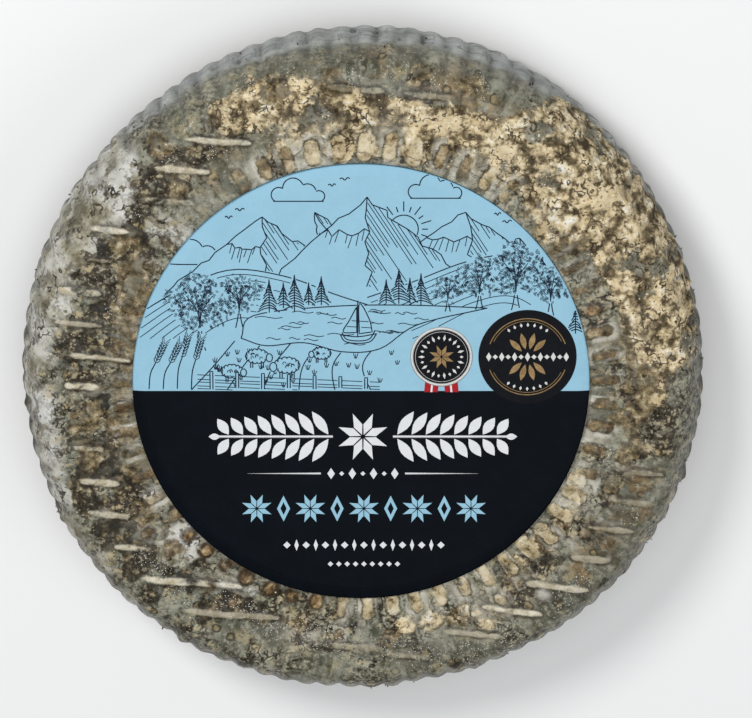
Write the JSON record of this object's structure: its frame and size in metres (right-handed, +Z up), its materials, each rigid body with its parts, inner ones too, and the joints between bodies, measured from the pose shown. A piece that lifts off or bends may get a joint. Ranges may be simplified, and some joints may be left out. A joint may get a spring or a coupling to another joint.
{
  "type": "blue cheese wheel",
  "caption": "Whole blue cheese wheel with a mould-ripened natural rind, ribbed barrel side, pressed marks on its faces and a round paper label, lying flat",
  "frame": {"origin": "centre of the underside's outline, on the surface that the wheel lies on", "axes": "+Z up out of the labelled face, along the wheel's axis; +Y towards the upper edge of the label; +X to the label's right"},
  "size_m": [0.2196, 0.2206, 0.0466],
  "materials": {
    "rind": "moist crusty natural rind, mottled grey green, tan and brown",
    "label": "coated paper with a soft sheen, light blue above and dark navy below"
  },
  "bodies": {
    "root": {"cheese_wheel": "rind", "paper_label": "label"}
  },
  "joints": []
}
